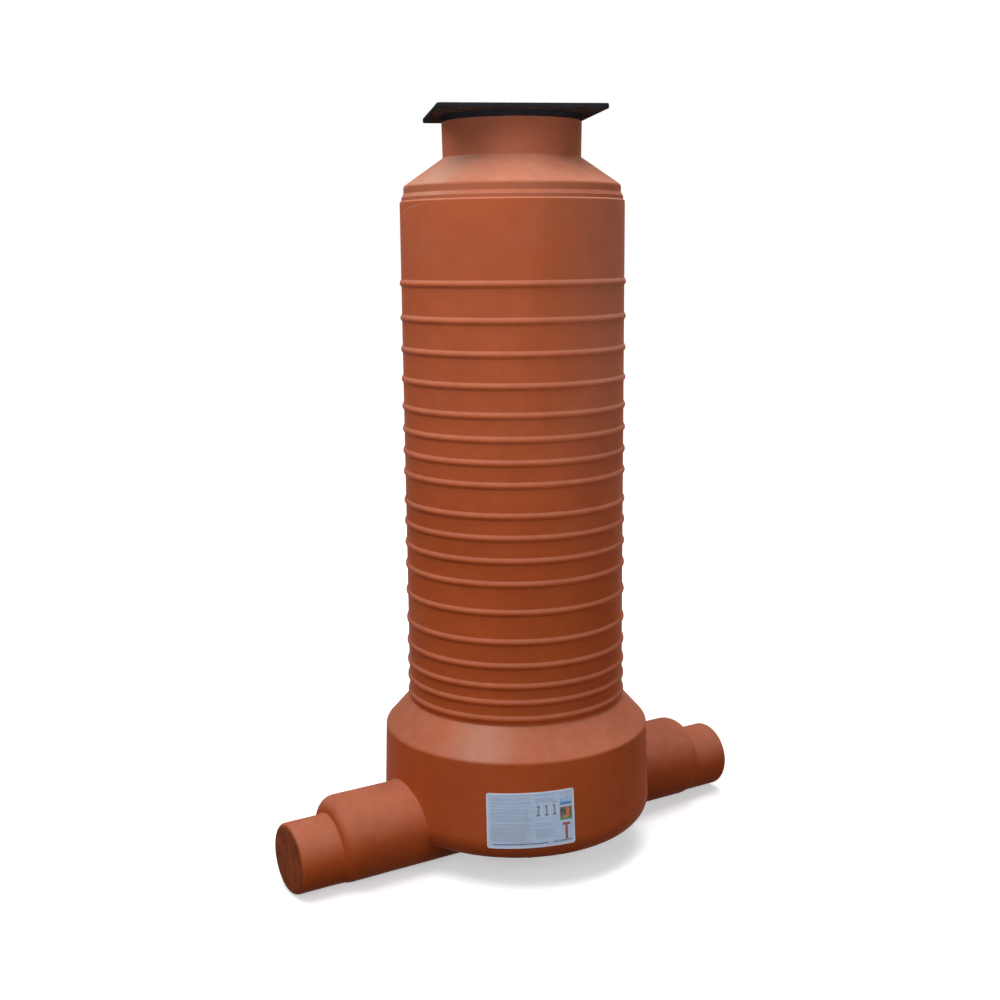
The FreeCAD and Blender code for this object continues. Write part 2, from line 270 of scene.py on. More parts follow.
class Paint:
    """The node tree of a material or a world, from its coordinates to its shader."""

    def __init__(self, owner):
        owner.use_nodes = True
        self.owner = owner
        self.tree = owner.node_tree
        self.tree.nodes.clear()
        self.place = self.node("ShaderNodeTexCoord", output="Object")

    def node(self, kind, settings=None, inputs=None, output=0):
        """Any node: its settings are set first, then the values or links of its sockets."""
        node = self.tree.nodes.new(kind)
        for key, value in (settings or {}).items():
            setattr(node, key, value)
        for key, value in (inputs or {}).items():
            if isinstance(value, Wire):
                self.tree.links.new(value.socket, node.inputs[key])
            else:
                node.inputs[key].default_value = value
        return Wire(self, node.outputs[output])

    def turned(self, angle=0.0, scale=(1, 1, 1)):
        """The piece's own place, turned about Z and scaled."""
        return self.node("ShaderNodeMapping", {}, {"Vector": self.place, "Rotation": (0, 0, angle),
                                                   "Scale": scale})

    def facing(self, direction):
        """The piece's own place, turned so that X points this way about the shaft."""
        return self.turned(-direction)

    def upward(self):
        """1 where the surface looks up, 0 where it is upright and -1 where it looks down."""
        return self.axes(self.node("ShaderNodeTexCoord", output="Normal"))[2]

    def angle_round(self, x, y):
        """The angle of a place about the shaft, from X, in radians."""
        return self.node("ShaderNodeMath", {"operation": "ARCTAN2"}, {0: y, 1: x})

    def axes(self, vector):
        """A vector's X, Y and Z as three numbers."""
        split = self.node("ShaderNodeSeparateXYZ", {}, {"Vector": vector}, "X").socket.node
        return [Wire(self, split.outputs[axis]) for axis in "XYZ"]

    def clouds(self, size, detail=2.0, rough=0.5, vector=None):
        """Soft noise about its middle value 0.5, with forms of about this size in metres."""
        return self.node("ShaderNodeTexNoise", {}, {"Vector": vector or self.place, "Scale": 1 / size,
                                                    "Detail": detail, "Roughness": rough})

    def chance(self, number):
        """A fixed random number for each whole number."""
        return self.node("ShaderNodeTexWhiteNoise", {"noise_dimensions": "1D"}, {"W": number})

    def fade(self, value, low, high):
        """0 below low, 1 above high and smooth between."""
        return self.node("ShaderNodeMapRange", {"interpolation_type": "SMOOTHSTEP"},
                         {"Value": value, "From Min": low, "From Max": high})

    def mix(self, amount, under, over):
        """The colour under, covered by the colour over."""
        colours = [c if isinstance(c, Wire) else (*c, 1.0) for c in (under, over)]
        return self.node("ShaderNodeMix", {"data_type": "RGBA"},
                         {0: amount, 6: colours[0], 7: colours[1]}, 2)

    def bump(self, height, distance, strength=1.0, under=None):
        """A relief of this height, laid over the relief under."""
        inputs = {"Height": height, "Distance": distance, "Strength": strength}
        if under:
            inputs["Normal"] = under
        return self.node("ShaderNodeBump", {}, inputs)

    def seen(self):
        """1 for what the camera sees itself, in a mirror or through glass, and 0 for other rays."""
        path = self.node("ShaderNodeLightPath", output="Is Camera Ray").socket.node
        camera, gloss, glass = (Wire(self, path.outputs[ray]) for ray in
                                ("Is Camera Ray", "Is Glossy Ray", "Is Transmission Ray"))
        return camera | gloss | glass

    def finish(self, **sockets):
        """Ends a material in a Principled shader with these sockets."""
        shader = self.node("ShaderNodeBsdfPrincipled", {},
                           {key.replace("_", " "): value for key, value in sockets.items()})
        return self.surface(shader)

    def surface(self, shader, output="ShaderNodeOutputMaterial"):
        """Links a shader to the output, and returns the material or world."""
        out = self.tree.nodes.new(output)
        self.tree.links.new(shader.socket, out.inputs["Surface"])
        return self.owner


def new_paint(name):
    return Paint(bpy.data.materials.new(name))


def shade(colour, amount):
    """A colour made lighter or darker by a factor."""
    return tuple(c * amount for c in colour)


# Materials

# The colour of chalk, and of the painted sheen laid on faces that look up.
CHALK_AND_SHEEN = (0.65, 0.45, 0.35)
SOIL = (0.13, 0.04, 0.022)
RUBBED = (0.66, 0.40, 0.31)
PALE_BORDER = (0.84, 0.88, 0.95)
# The side of the shaft that carries the strongest painted sheen.
SHEEN_SIDE = math.radians(-32)     # about the shaft, as are the directions that follow
# The sides of the base and the cone that carry a painted highlight patch.
BASE_HIGHLIGHT_SIDE = math.radians(-138)
CONE_HIGHLIGHT_SIDE = math.radians(-170)
SCUFF_SIDE = math.radians(-165)


def moulded_plastic(name, colour, chalky=0.0, dust_and_sheen_on_top=0.25, painted_light_heights=None, highlight_side=None,
                    soiled_end=None):
    """Matt polyethylene: an uneven tone, a fine orange-peel skin and slow waves from cooling.

    It is chalky all over. Faces that look up carry dust and a painted sheen by a given share, and a
    painted highlight patch in a given direction. A piece given two heights is painted paler and
    brighter from the first to the second, as painted light, with a painted sheen strongest on one
    side, and has the strap's rub mark under its rim. End faces this far out along X are soiled.
    """
    paint = new_paint(name)
    blotches = paint.clouds(0.16, 3.0)
    mottle = paint.clouds(0.035, 4.0, 0.6)
    specks = paint.clouds(0.0022, 2.0)
    streaks = paint.clouds(0.016, 3.0, 0.6, paint.turned(scale=(1, 1, 0.07)))
    tone = blotches * 0.45 + mottle * 0.27 + specks * 0.16 + streaks * 0.12
    uneven = paint.fade(tone, 0.36, 0.64)
    body = paint.mix(uneven, shade(colour, 0.93), shade(colour, 1.1))
    chalk_and_sheen = paint.fade(paint.clouds(0.3, 4.0, 0.65, paint.turned(0.7)), 0.52, 0.78) * 0.06 + chalky
    # Faces that look up get dust and a painted sheen: they are painted paler, as if they reflected the
    # bright sky.
    facing_up = paint.fade(paint.upward(), -0.05, 0.75)
    top = facing_up * (0.6 + mottle * 0.8) * dust_and_sheen_on_top
    # A painted highlight: a pale patch on the faces that look up, on one side of the piece.
    if highlight_side is not None:
        outwards, sideways, _ = paint.axes(paint.facing(highlight_side))
        highlight_patch = paint.fade(outwards, 0.08, 0.14) * (1 - paint.fade(abs(sideways), 0.0, 0.11))
        top = top + facing_up * highlight_patch * 0.23
    chalk_and_sheen = chalk_and_sheen | top
    # Painted light: the shaft is painted paler and brighter towards the top, as if lit more there, with a
    # painted sheen strongest on one side.
    if painted_light_heights:
        towards_sheen_side, _, z = paint.axes(paint.facing(SHEEN_SIDE))
        painted_brightening = paint.fade(z + (blotches - 0.5) * 0.25, *painted_light_heights)
        chalk_and_sheen = chalk_and_sheen + painted_brightening * (0.065 + paint.fade(towards_sheen_side, 0.05, 0.25) * 0.14)
        painted_lit_colour = paint.mix(uneven, shade(colour, 1.05), shade(colour, 1.25))
        body = paint.mix(painted_brightening, body, painted_lit_colour)
    body = paint.mix(chalk_and_sheen, body, CHALK_AND_SHEEN)
    rough = 0.5 + (mottle - 0.5) * 0.22 + chalk_and_sheen * 0.5
    if soiled_end:
        soil = end_soil(paint, soiled_end)
        body = paint.mix(soil, body, SOIL)
        rough = rough + soil * 0.2
    if painted_light_heights:
        scuff = strap_scuff(paint)
        body = paint.mix(scuff * 0.42, body, RUBBED)
        rough = rough + scuff * 0.15
    waves = paint.bump(paint.clouds(0.11, 1.0), 0.0016, 0.5)
    peel = paint.bump(paint.clouds(0.0032, 2.0), 0.00025, 0.35, waves)
    return paint.finish(Base_Color=body, Roughness=rough, Normal=peel, Specular_IOR_Level=0.012)


def end_soil(paint, reach):
    """Dried soil in patches on the faces that lie this far out along X, on both sides."""
    outwards = abs(paint.axes(paint.place)[0])
    on_end = paint.fade(outwards, reach - 4 * MM, reach - 0.5 * MM)
    return on_end * (0.35 + paint.fade(paint.clouds(0.03, 4.0, 0.7), 0.35, 0.65) * 0.45)


def strap_scuff(paint):
    """Pale curved rub mark under the rim, which runs down from it round the shaft's side."""
    x, y, z = paint.axes(paint.facing(SCUFF_SIDE))
    angle = paint.angle_round(x, y)
    highest = math.radians(-137.6) - SCUFF_SIDE
    least_drop = 2.4 * MM
    bend = math.radians(23.5)
    drop = least_drop * math.e ** ((highest - angle) / bend)
    off_line = abs(RIM - drop - z)
    line = 1 - paint.fade(off_line, 0.3 * MM, 1.8 * MM)
    ends = paint.fade(angle, math.radians(-34), math.radians(-26))
    ends = ends * (1 - paint.fade(angle, math.radians(-17), 0.0))
    return line * ends * paint.fade(paint.clouds(0.02), 0.2, 0.6)


def moulded_cover(colour):
    """Dull black plastic with a coarse grain and wear, greyer sides that are worn and carry a painted
    sheen, and an underside painted paler with dust and painted bounce light.
    """
    paint = new_paint("cover_black")
    grain = paint.clouds(0.0028, 3.0, 0.6)
    wear = paint.fade(paint.clouds(0.045, 5.0, 0.65), 0.42, 0.7)
    body = paint.mix(wear, shade(colour, 0.7), shade(colour, 1.5))
    body = paint.mix(paint.fade(grain, 0.6, 0.72) * 0.5, body, shade(colour, 3.0))
    upward = paint.upward()
    # Dust, and painted bounce light: the underside is painted paler and browner, as if lit from below.
    dust = paint.fade(-1 * upward, 0.6, 0.95) * (0.35 + wear * 0.45)
    body = paint.mix(dust, body, (0.175, 0.14, 0.13))
    # Worn, greyer upright sides, which also carry a painted sheen along the plate's edges.
    worn_and_sheen_side = (1 - paint.fade(abs(upward), 0.2, 0.9)) * (0.3 + paint.fade(grain, 0.4, 0.6) * 0.5)
    body = paint.mix(worn_and_sheen_side, body, (0.042, 0.042, 0.048))
    rough = 0.55 + wear * 0.15 + (grain - 0.5) * 0.2
    skin = paint.bump(grain, 0.0006, 0.6)
    return paint.finish(Base_Color=body, Roughness=rough, Normal=skin, Specular_IOR_Level=0.0)


def seal_rubber(colour):
    """Dull rubber with a little dust."""
    paint = new_paint("seal_rubber")
    dust = paint.fade(paint.clouds(0.02, 4.0), 0.45, 0.7)
    body = paint.mix(dust * 0.3, colour, (0.10, 0.09, 0.085))
    skin = paint.bump(paint.clouds(0.0015), 0.0001, 0.5)
    return paint.finish(Base_Color=body, Roughness=0.6 + dust * 0.2, Normal=skin)


class Print:
    """Marks on the film. Their places are in millimetres from its lower left corner."""

    def __init__(self, paint, settings):
        """Works out the way across the film and up it, in metres, from where it lies on the drum."""
        self.paint = paint
        x, y, z = paint.axes(paint.facing(settings.direction))
        round_drum = paint.angle_round(x, y) * (settings.drum_radius + settings.thickness)
        above = z - settings.middle
        slant = math.tan(settings.tilt)
        self.across = round_drum + above * slant + settings.width / 2
        self.up = above - round_drum * slant + settings.height / 2

    def between(self, value, low, high):
        return (value > low * MM) * (value < high * MM)

    def field(self, left, right, low, high):
        return self.between(self.across, left, right) * self.between(self.up, low, high)

    def text(self, left, right, low, high, pitch, height, key, ragged=0.35, skipped=0.14):
        """Greeked lines, each with its own length and with gaps like those between words.

        ragged is the most by which a line falls short of the column, skipped the share of empty
        lines, and key keeps two blocks from being alike.
        """
        row = self.up / (pitch * MM)
        number = math.floor(row)
        line = (row - number) < height / pitch
        own_end = right * MM - self.paint.chance(number + key) * (right - left) * ragged * MM
        kept = self.paint.chance(number * 3 + key) > skipped
        word_length = 2.2 * MM
        grain = self.paint.node("ShaderNodeCombineXYZ", {}, {"X": self.across / word_length,
                                                             "Y": number + key})
        noise_in_line = self.paint.node("ShaderNodeTexNoise", {}, {"Vector": grain, "Scale": 1.0,
                                                                   "Detail": 1.0})
        words = noise_in_line > 0.36
        return line * kept * words * (self.across < own_end) * self.field(left, right, low, high)


def printed_film(settings, ground):
    """The label's film, with greeked text and simple fields in place of the print."""
    paint = new_paint("printed_film")
    marks = Print(paint, settings)
    tint = paint.clouds(0.03, 2.0)
    sheet = paint.mix(paint.fade(tint, 0.3, 0.7), shade(ground, 0.96), shade(ground, 1.05))
    border = 3
    edge = 1 - marks.field(border, settings.width / MM - border, border, settings.height / MM - border)
    sheet = paint.mix(edge * 0.55, sheet, PALE_BORDER)
    column = marks.field(8, 104, 16, 122) * (0.04 + paint.fade(paint.clouds(0.05, 2.0), 0.4, 0.6) * 0.1)
    sheet = paint.mix(column, sheet, (0.36, 0.41, 0.50))
    sheet = greeked_lines(paint, marks, sheet)
    sheet = three_posts(paint, marks, sheet)
    sheet = picture_fields(paint, marks, sheet)
    crease = paint.bump(paint.clouds(0.02, 2.0), 0.0003, 0.4)
    return paint.finish(Base_Color=sheet, Roughness=0.32, Normal=crease)


def greeked_lines(paint, marks, sheet):
    """The columns of small lines, with darker ones at the foot and a few in blue and red."""
    ink = (0.20, 0.24, 0.32)
    blue_ink = (0.13, 0.22, 0.42)
    dark_ink = (0.035, 0.05, 0.12)
    red_ink = (0.45, 0.12, 0.10)
    small_lines = marks.text(8, 103, 16, 122, 3.1, 1.5, 7, 0.2) * 0.5
    small_lines = small_lines | marks.text(109, 158, 20, 66, 3.2, 1.5, 57) * 0.5
    small_lines = small_lines | marks.text(63, 104, 12, 16, 4.0, 1.4, 61, 0.0, 0.0) * 0.6
    small_lines = small_lines | marks.text(166, 194, 115, 123, 2.2, 1.0, 83, 0.15) * 0.5
    sheet = paint.mix(small_lines, sheet, ink)
    sheet = paint.mix(marks.text(109, 158, 103, 123, 3.0, 1.3, 31) * 0.6, sheet, blue_ink)
    foot_lines = marks.text(14, 137, 6.5, 10.5, 4.0, 2.6, 98, 0.0, 0.0)
    foot_lines = foot_lines | marks.text(149, 192, 8.5, 12.5, 4.0, 2.8, 101, 0.0, 0.0)
    sheet = paint.mix(foot_lines * 0.9, sheet, dark_ink)
    sheet = paint.mix(marks.text(147, 162, 101, 104.5, 3.5, 1.6, 113, 0.1, 0.0) * 0.6, sheet, red_ink)
    return paint.mix(marks.text(110, 119, 101, 104.5, 3.5, 1.6, 113, 0.1, 0.0) * 0.6, sheet, blue_ink)


def three_posts(paint, marks, sheet):
    """Three small dark posts with a cap and a foot, the first one leaning."""
    for left, lean in ((110, 0.16), (129, 0.0), (147, 0.0)):
        slant = marks.across + (marks.up - 82 * MM) * -lean
        post = marks.between(slant, left + 4.8, left + 7.6) * marks.between(marks.up, 72, 96)
        cap = marks.field(left + 2.5, left + (9.5 if lean else 7.6), 92, 96)
        foot = marks.field(left + 2, left + 10, 72, 76)
        sheet = paint.mix((post | cap | foot) * 0.85, sheet, (0.07, 0.09, 0.13))
        sheet = paint.mix(marks.field(left + 13, left + 15, 70, 98) * 0.5, sheet, PALE_BORDER)
    return sheet


def picture_fields(paint, marks, sheet):
    """Plain fields of colour: blue over a dark one with dapples, and a red tee below them."""
    plume = paint.fade(paint.clouds(0.009, 2.0), 0.5, 0.56) * marks.field(168, 192, 97, 111)
    sheet = paint.mix(marks.field(166, 193, 96, 111) * 0.5, sheet, (0.28, 0.52, 0.82))
    sheet = paint.mix(plume * 0.7, sheet, (0.13, 0.36, 0.70))
    sheet = paint.mix(marks.field(166, 193, 92, 98.5) * 0.9, sheet, (0.05, 0.19, 0.48))
    dapple = paint.fade(paint.clouds(0.008, 3.0), 0.4, 0.6)
    dark_field = paint.mix(dapple, (0.012, 0.014, 0.012), (0.16, 0.085, 0.045))
    sheet = paint.mix(marks.field(166, 194, 57, 87), sheet, dark_field)
    sheet = paint.mix(marks.field(180, 188, 63, 87), sheet, (0.52, 0.15, 0.05))
    sheet = paint.mix(marks.field(166, 194, 57, 64), sheet, (0.03, 0.20, 0.05))
    sheet = paint.mix(dapple * marks.field(174, 182, 60, 68), sheet, (0.55, 0.24, 0.14))
    tee = marks.field(171, 189, 45, 50.5) | marks.field(177, 183, 12, 46)
    return paint.mix(tee, sheet, (0.26, 0.05, 0.028))


# Modelling

def start_clean():
    """Leaves nothing selected, because an operator acts on all that is selected."""
    bpy.ops.object.select_all(action="DESELECT")


def begin(name):
    """Names the new primitive and opens it for modelling by vertices, with all of it selected."""
    piece = bpy.context.object
    piece.name = name
    piece.data.name = name
    bpy.ops.object.mode_set(mode="EDIT")
    bpy.ops.mesh.select_mode(type="VERT")
    bpy.ops.mesh.select_all(action="SELECT")
    return piece


def end(piece):
    """Merges doubles, turns the faces outwards and smooths all but the sharp edges."""
    bpy.ops.mesh.select_all(action="SELECT")
    bpy.ops.mesh.remove_doubles(threshold=0.01 * MM)
    bpy.ops.mesh.normals_make_consistent(inside=False)
    bpy.ops.object.mode_set(mode="OBJECT")
    bpy.ops.object.shade_smooth_by_angle(angle=SMOOTH_ANGLE)
    return piece


def select_edges(piece, test):
    """Selects the edges whose two ends pass the test, in edit mode."""
    bpy.ops.mesh.select_mode(type="EDGE")
    bpy.ops.mesh.select_all(action="DESELECT")
    bpy.ops.object.mode_set(mode="OBJECT")
    mesh = piece.data
    for edge in mesh.edges:
        edge.select = test(*[mesh.vertices[i].co for i in edge.vertices])
    bpy.ops.object.mode_set(mode="EDIT")


def outline(corners):
    """Points (radius, height) of a closed outline, with an arc at each corner that has a rounding."""
    points = []
    for i, (radius, height, rounding) in enumerate(corners):
        corner = Vector((radius, height))
        if rounding == 0:
            points.append(corner)
            continue
        before = (Vector(corners[i - 1][:2]) - corner).normalized()
        after = (Vector(corners[(i + 1) % len(corners)][:2]) - corner).normalized()
        half_angle = before.angle(after) / 2
        centre = corner + (before + after).normalized() * (rounding / math.sin(half_angle))
        run = rounding / math.tan(half_angle)
        first = (corner + before * run - centre).normalized()
        last = (corner + after * run - centre).normalized()
        count = max(3, math.ceil(first.angle(last) / ARC_STEP))
        points += [centre + rounding * first.slerp(last, k / count) for k in range(count + 1)]
    return points


def lathe(name, points, steps):
    """A closed outline, drawn point by point from one vertex and spun round the shaft's axis."""
    start_clean()
    radius, height = points[0]
    bpy.ops.mesh.primitive_plane_add(size=MM, location=(0, 0, 0))
    piece = begin(name)
    bpy.ops.mesh.merge(type="CENTER")
    bpy.ops.transform.translate(value=(radius, 0, height))
    for before, after in zip(points, points[1:] + points[:1]):
        step = (after[0] - before[0], 0, after[1] - before[1])
        bpy.ops.mesh.extrude_region_move(TRANSFORM_OT_translate={"value": step})
    bpy.ops.mesh.select_all(action="SELECT")
    bpy.ops.mesh.remove_doubles(threshold=0.01 * MM)
    bpy.ops.mesh.select_all(action="SELECT")
    bpy.ops.mesh.spin(steps=steps, angle=math.tau, center=(0, 0, 0), axis=(0, 0, 1))
    return end(piece)


def keep_plain_faces_even(piece):
    """Lets the large faces set the shading, so that plain stretches don't shade towards a bend."""
    even = piece.modifiers.new("Even", "WEIGHTED_NORMAL")
    even.keep_sharp = True
    bpy.ops.object.modifier_apply(modifier=even.name)


def dress(piece, material, slot, *nodes):
    """Gives a new piece its finish and its place in the frame."""
    piece.data.materials.clear()
    piece.data.materials.append(material)
    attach(piece, "root")
    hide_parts(*nodes)


def redress(node, material):
    """Gives a CAD node a new finish."""
    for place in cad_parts[node].material_slots:
        place.material = material


def groove(spigot, seal_low, seal_high):
    """Corners of the seal's groove in a spigot, from its lower side up."""
    floor = spigot - GROOVE_DEPTH
    top = seal_high + GROOVE_PLAY
    return [(spigot, seal_low, 0), (floor, seal_low, 0), (floor, top, 0), (spigot, top, 0)]


# Operators, one for each piece or group of like pieces

class CHAMBER_OT_base(bpy.types.Operator):
    """Finish the drum base with its stub pipes"""
    bl_idname = "chamber.base"
    bl_label = "Base"

    def execute(self, context):
        colour = context.scene.chamber_finish.terracotta
        plastic = moulded_plastic("base_terracotta", colour, dust_and_sheen_on_top=0.19, highlight_side=BASE_HIGHLIGHT_SIDE,
                                  soiled_end=BASE_HIGH[0])
        redress("base_chamber", plastic)
        return {"FINISHED"}


class CHAMBER_OT_shaft(bpy.types.Operator):
    """Turn the ringed shaft"""
    bl_idname = "chamber.shaft"
    bl_label = "Shaft"

    def execute(self, context):
        sizes = context.scene.chamber_shaft
        outer = SHAFT_HIGH[0] - sizes.ring_rise
        spigot = SOCKET_BORE - SPIGOT_PLAY
        corners = [(outer, MOUTH, 0)]
        corners += [(radius, height, 0) for radius, height in self.ring_line(sizes, outer)]
        corners += [(outer, RIM, sizes.rim_round), (SHAFT_BORE, RIM, SLIGHT_ROUND),
                    (SHAFT_BORE, MOUTH + sizes.wall, 0), (spigot - sizes.wall, MOUTH, 0),
                    (spigot - sizes.wall, SHAFT_LOW[2], 0), (spigot, SHAFT_LOW[2], 0)]
        corners += groove(spigot, BASE_SEAL_LOW[2], BASE_SEAL_HIGH[2])
        corners.append((spigot, MOUTH, 0))
        piece = lathe("ringed_shaft", outline(corners), sizes.steps)
        keep_plain_faces_even(piece)
        colour = context.scene.chamber_finish.terracotta
        # Heights over which the shaft is painted brighter, as painted light.
        height = RIM - MOUTH
        painted_light_heights = (MOUTH + height * 0.2, MOUTH + height * 0.85)
        plastic = moulded_plastic("shaft_terracotta", colour, chalky=0.01, dust_and_sheen_on_top=0.26,
                                  painted_light_heights=painted_light_heights)
        dress(piece, plastic, "terracotta_plastic", "riser_shaft")
        return {"FINISHED"}

    def ring_line(self, sizes, outer):
        """The outside from the seat up: plain stretches between rings with soft feet."""
        crest = MOUTH + sizes.lowest_ring
        crests = [crest]
        for spacing in sizes.spacings:
            crest += spacing
            crests.append(crest)
        line = []
        softness = 1.4
        for crest in crests:
            for k in range(-RING_FACETS, RING_FACETS + 1):
                flank = sizes.ring_upper if k > 0 else sizes.ring_lower
                share = k / RING_FACETS
                rise = sizes.ring_rise * (1 - share * share) ** softness
                line.append((outer + rise, crest + share * flank))
        return line


class CHAMBER_OT_cone(bpy.types.Operator):
    """Turn the top cone with its collar and neck"""
    bl_idname = "chamber.cone"
    bl_label = "Cone"

    def execute(self, context):
        corners = self.section(context.scene.chamber_cone)
        piece = lathe("cone_and_neck", outline(corners), context.scene.chamber_shaft.steps)
        keep_plain_faces_even(piece)
        colour = context.scene.chamber_finish.terracotta
        plastic = moulded_plastic("cone_terracotta", colour, chalky=0.17, dust_and_sheen_on_top=0.3,
                                  highlight_side=CONE_HIGHLIGHT_SIDE)
        dress(piece, plastic, "terracotta_plastic", "top_cone")
        return {"FINISHED"}

    def section(self, sizes):
        """Corners of the wall, up its outside from the spigot's foot and down its inside."""
        lip = CONE_HIGH[0]
        band = lip - sizes.band_setback
        neck = sizes.neck_diameter / 2
        neck_foot_radius = neck - sizes.neck_draft
        bore = neck - sizes.wall
        spigot = SHAFT_BORE - SPIGOT_PLAY
        spigot_bore = spigot - GROOVE_DEPTH - sizes.wall
        lip_top = RIM + sizes.lip_height
        band_foot = lip_top + sizes.ramp_height
        cone_foot = band_foot + sizes.band_height
        neck_foot = cone_foot + sizes.cone_height
        run = band - neck_foot_radius
        drop = sizes.wall * math.hypot(run, sizes.cone_height) / run
        inner_neck_foot = neck_foot - drop
        inner_slope_foot = inner_neck_foot - (spigot_bore - bore) * sizes.cone_height / run
        corners = [(spigot_bore, CONE_LOW[2], 0), (spigot, CONE_LOW[2], 0)]
        corners += groove(spigot, CONE_SEAL_LOW[2], CONE_SEAL_HIGH[2])
        corners += [(spigot, RIM, 0), (lip, RIM, SLIGHT_ROUND), (lip, lip_top, sizes.edge_round / 2),
                    (band, band_foot, sizes.edge_round), (band, cone_foot, sizes.shoulder_round),
                    (neck_foot_radius, neck_foot, sizes.edge_round), (neck, NECK_TOP, sizes.rim_round),
                    (bore, NECK_TOP, SLIGHT_ROUND), (bore, inner_neck_foot, 0),
                    (spigot_bore, inner_slope_foot, 0)]
        return corners


class CHAMBER_OT_seals(bpy.types.Operator):
    """Finish the two rubber rings"""
    bl_idname = "chamber.seals"
    bl_label = "Seals"

    def execute(self, context):
        rubber = seal_rubber(context.scene.chamber_finish.rubber)
        for node in ("base_seal", "cone_seal"):
            redress(node, rubber)
        return {"FINISHED"}


class CHAMBER_OT_cover(bpy.types.Operator):
    """Model the square cover plate with its seat and locating ring"""
    bl_idname = "chamber.cover"
    bl_label = "Cover"

    def execute(self, context):
        sizes = context.scene.chamber_cover
        plate = self.plate(sizes)
        seat = self.seat(sizes, context.scene.chamber_cone, context.scene.chamber_shaft.steps)
        start_clean()
        plate.select_set(True)
        bpy.context.view_layer.objects.active = plate
        union = plate.modifiers.new("Seat", "BOOLEAN")
        union.operation = "UNION"
        union.object = seat
        bpy.ops.object.modifier_apply(modifier=union.name)
        bpy.data.objects.remove(seat)
        bpy.ops.object.shade_smooth_by_angle(angle=SMOOTH_ANGLE)
        black = moulded_cover(context.scene.chamber_finish.cover_black)
        dress(plate, black, "black_plastic", "cover_lid")
        return {"FINISHED"}

    def seat(self, sizes, cone, steps):
        """The round seat on the neck's rim and the locating ring inside it, up into the plate."""
        outer = cone.neck_diameter / 2
        ring = outer - cone.wall - sizes.ring_clearance
        inner = ring - sizes.ring_wall
        foot = COVER_LOW[2]
        inside_plate = COVER_HIGH[2] - sizes.thickness / 2
        corners = [(inner, foot, SLIGHT_ROUND), (ring, foot, SLIGHT_ROUND), (ring, NECK_TOP, 0),
                   (outer, NECK_TOP, SLIGHT_ROUND), (outer, inside_plate, 0), (inner, inside_plate, 0)]
        return lathe("cover_seat", outline(corners), steps)

    def plate(self, sizes):
        """A slab with rounded corners and rims, cut into strips so that its edge can be uneven."""
        start_clean()
        half = sizes.side / 2
        low = COVER_HIGH[2] - sizes.thickness
        bpy.ops.mesh.primitive_cube_add(size=1, location=(0, 0, 0))
        piece = begin("cover_plate")
        bpy.ops.transform.resize(value=(sizes.side, sizes.side, sizes.thickness))
        bpy.ops.transform.translate(value=(0, 0, low + sizes.thickness / 2))
        select_edges(piece, self.is_upright)
        bpy.ops.mesh.bevel(offset=sizes.corner_round, segments=6)
        select_edges(piece, lambda first, second: not self.is_upright(first, second))
        bpy.ops.mesh.bevel(offset=sizes.edge_round, segments=3)
        strips = 36
        for k in range(1, strips):
            place = -half + sizes.side * k / strips
            for plane in ((1, 0, 0), (0, 1, 0)):
                bpy.ops.mesh.select_all(action="SELECT")
                bpy.ops.mesh.bisect(plane_co=[place * axis for axis in plane], plane_no=plane)
        end(piece)
        self.roughen_edge(piece.data, half - 2 * sizes.edge_round, sizes.roughness)
        piece.data.transform(Matrix.Rotation(sizes.turn, 4, "Z"))
        return piece

    def roughen_edge(self, mesh, inside, depth):
        """Moves the outermost vertices in and out, mostly in, by short and long waves."""
        short_wave = 9 * MM
        long_wave = 30 * MM
        mostly_in = 0.6
        for vertex in mesh.vertices:
            outwards = Vector((vertex.co.x, vertex.co.y, 0))
            if max(abs(outwards.x), abs(outwards.y)) > inside:
                push = noise.noise(vertex.co / short_wave) + 0.6 * noise.noise(vertex.co / long_wave)
                vertex.co += outwards.normalized() * (push - mostly_in) * depth

    @staticmethod
    def is_upright(first, second):
        return abs(first.z - second.z) > 0.5 * MM


class CHAMBER_OT_label(bpy.types.Operator):
    """Lay the printed film on the drum's side"""
    bl_idname = "chamber.label"
    bl_label = "Label"

    def execute(self, context):
        sizes = context.scene.chamber_label
        start_clean()
        bpy.ops.mesh.primitive_plane_add(size=1, location=(0, 0, 0))
        piece = begin("printed_label")
        bpy.ops.transform.resize(value=(sizes.width, sizes.height, 1))
        bpy.ops.mesh.bevel(offset=sizes.corner_round, segments=6, affect="VERTICES")
        strips = 50
        for k in range(1, strips):
            place = sizes.width * (k / strips - 0.5)
            bpy.ops.mesh.select_all(action="SELECT")
            bpy.ops.mesh.bisect(plane_co=(place, 0, 0), plane_no=(1, 0, 0))
        bpy.ops.mesh.select_all(action="SELECT")
        end(piece)
        self.wrap(piece.data, sizes)
        film = piece.modifiers.new("Film", "SOLIDIFY")
        film.thickness = sizes.thickness
        film.offset = 1
        bpy.ops.object.modifier_apply(modifier=film.name)
        bpy.ops.object.shade_smooth_by_angle(angle=SMOOTH_ANGLE)
        finish = context.scene.chamber_finish
        dress(piece, printed_film(sizes, tuple(finish.film)), "printed_film", "info_label")
        return {"FINISHED"}

    def wrap(self, mesh, sizes):
        """Rolls the flat film onto the leaning side of the drum."""
        mesh.transform(Matrix.Rotation(sizes.tilt, 4, "Z"))
        for vertex in mesh.vertices:
            across, up, _ = vertex.co
            radius = sizes.drum_radius - up * math.tan(sizes.drum_draft)
            angle = sizes.direction + across / sizes.drum_radius
            vertex.co = (radius * math.cos(angle), radius * math.sin(angle), sizes.middle + up)


